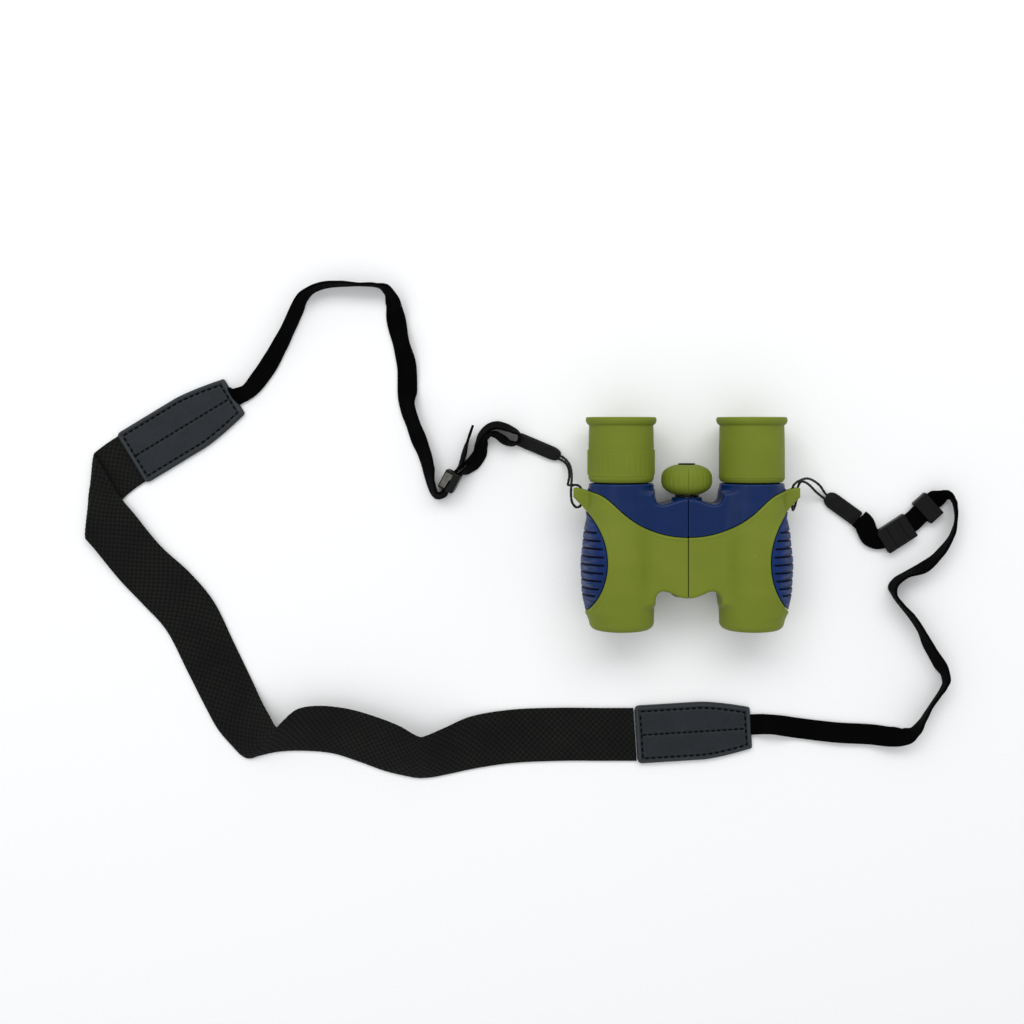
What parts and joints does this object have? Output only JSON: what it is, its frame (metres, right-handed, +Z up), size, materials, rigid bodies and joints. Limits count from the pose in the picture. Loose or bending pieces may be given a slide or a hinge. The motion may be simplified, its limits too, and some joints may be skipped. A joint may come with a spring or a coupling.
{
  "type": "binoculars",
  "caption": "Compact folding roof-prism binoculars with rubber armour, ribbed side grips, centre focus wheel, diopter ring and a woven neck strap lying beside them.",
  "frame": {"origin": "on the table under the middle of the binoculars, strap left out, as they lie on their underside", "axes": "+X from the right barrel to the left barrel, as the wearer names them, +Y towards the eyepieces, +Z up out of the top side"},
  "size_m": [0.4223, 0.2388, 0.0358],
  "materials": {
    "navy_plastic": "satin moulded plastic",
    "green_rubber": "satin rubber armour",
    "grip_rubber": "ribbed matt rubber",
    "black_plastic": "matt black",
    "steel": "turned steel",
    "brass": "turned brass",
    "lens_glass": "coated glass",
    "strap_webbing": "woven nylon",
    "strap_leather": "grained imitation leather",
    "buckle_metal": "dull dark grey"
  },
  "bodies": {
    "right_half": {"right_housing": "navy_plastic", "right_armour": "green_rubber", "right_grip": "grip_rubber", "right_objective_ring": "black_plastic", "right_prism_frame": "black_plastic", "right_half_penta_prism": "lens_glass", "right_roof_prism": "lens_glass", "wheel_collar": "black_plastic", "upper_hinge_bush": "steel", "hinge_pin": "steel", "hinge_front_cap": "green_rubber", "right_loop_cord": "strap_webbing", "right_end_tab": "strap_webbing", "right_webbing_loop": "strap_webbing", "right_webbing_tail": "strap_webbing", "right_strap_buckle": "buckle_metal", "right_webbing": "strap_webbing", "right_neck_tab": "strap_leather", "neck_band": "strap_webbing", "left_neck_tab": "strap_leather", "left_webbing": "strap_webbing", "left_strap_keeper": "black_plastic", "left_strap_buckle": "black_plastic", "left_webbing_loop": "strap_webbing", "left_end_tab": "strap_webbing"},
    "left_half": {"left_housing": "navy_plastic", "left_armour": "green_rubber", "left_grip": "grip_rubber", "left_objective_ring": "black_plastic", "left_prism_frame": "black_plastic", "left_half_penta_prism": "lens_glass", "left_roof_prism": "lens_glass", "left_ocular_tube": "black_plastic", "left_field_lens": "lens_glass", "left_eye_lens": "lens_glass", "left_eyecup": "green_rubber", "left_loop_cord": "strap_webbing"},
    "focus_wheel": {"focus_wheel": "green_rubber", "focus_wheel_cap": "black_plastic", "focus_spindle": "steel"},
    "focus_carriage": {"focus_nut": "brass", "right_focus_arm": "black_plastic", "right_objective_cell": "black_plastic", "right_objective_lens": "lens_glass"},
    "left_focus_cell": {"left_focus_arm": "black_plastic", "left_objective_cell": "black_plastic", "left_objective_lens": "lens_glass"},
    "diopter_ring": {"right_diopter_ring": "green_rubber", "right_eyecup": "green_rubber"},
    "right_ocular": {"right_ocular_tube": "black_plastic", "right_field_lens": "lens_glass", "right_eye_lens": "lens_glass"}
  },
  "joints": [
    {"name": "fold", "type": "hinge", "parent": "right_half", "child": "left_half", "pos_m": [0, 0, 0.019], "axis": [0, 1, 0], "range_deg": [0, 60]},
    {"name": "focus_turn", "type": "hinge", "parent": "right_half", "child": "focus_wheel", "pos_m": [0, 0, 0.019], "axis": [0, 1, 0], "range_deg": [-200, 200]},
    {"name": "focus_slide", "type": "slide", "parent": "right_half", "child": "focus_carriage", "axis": [0, 1, 0], "range_m": [-0.0022, 0.0022]},
    {"name": "left_focus_slide", "type": "slide", "parent": "left_half", "child": "left_focus_cell", "axis": [0, 1, 0], "range_m": [-0.0022, 0.0022]},
    {"name": "diopter_turn", "type": "hinge", "parent": "right_half", "child": "diopter_ring", "pos_m": [-0.03, 0, 0.018], "axis": [0, 1, 0], "range_deg": [-60, 60]},
    {"name": "diopter_travel", "type": "slide", "parent": "right_half", "child": "right_ocular", "axis": [0, 1, 0], "range_m": [-0.00078, 0.00078]}
  ],
  "couplings": [
    {"joint": "focus_turn", "follows": "focus_slide", "rad_per_m": 1570.8},
    {"joint": "left_focus_slide", "follows": "focus_slide", "ratio": 1},
    {"joint": "diopter_turn", "follows": "diopter_travel", "rad_per_m": 1333.3}
  ]
}
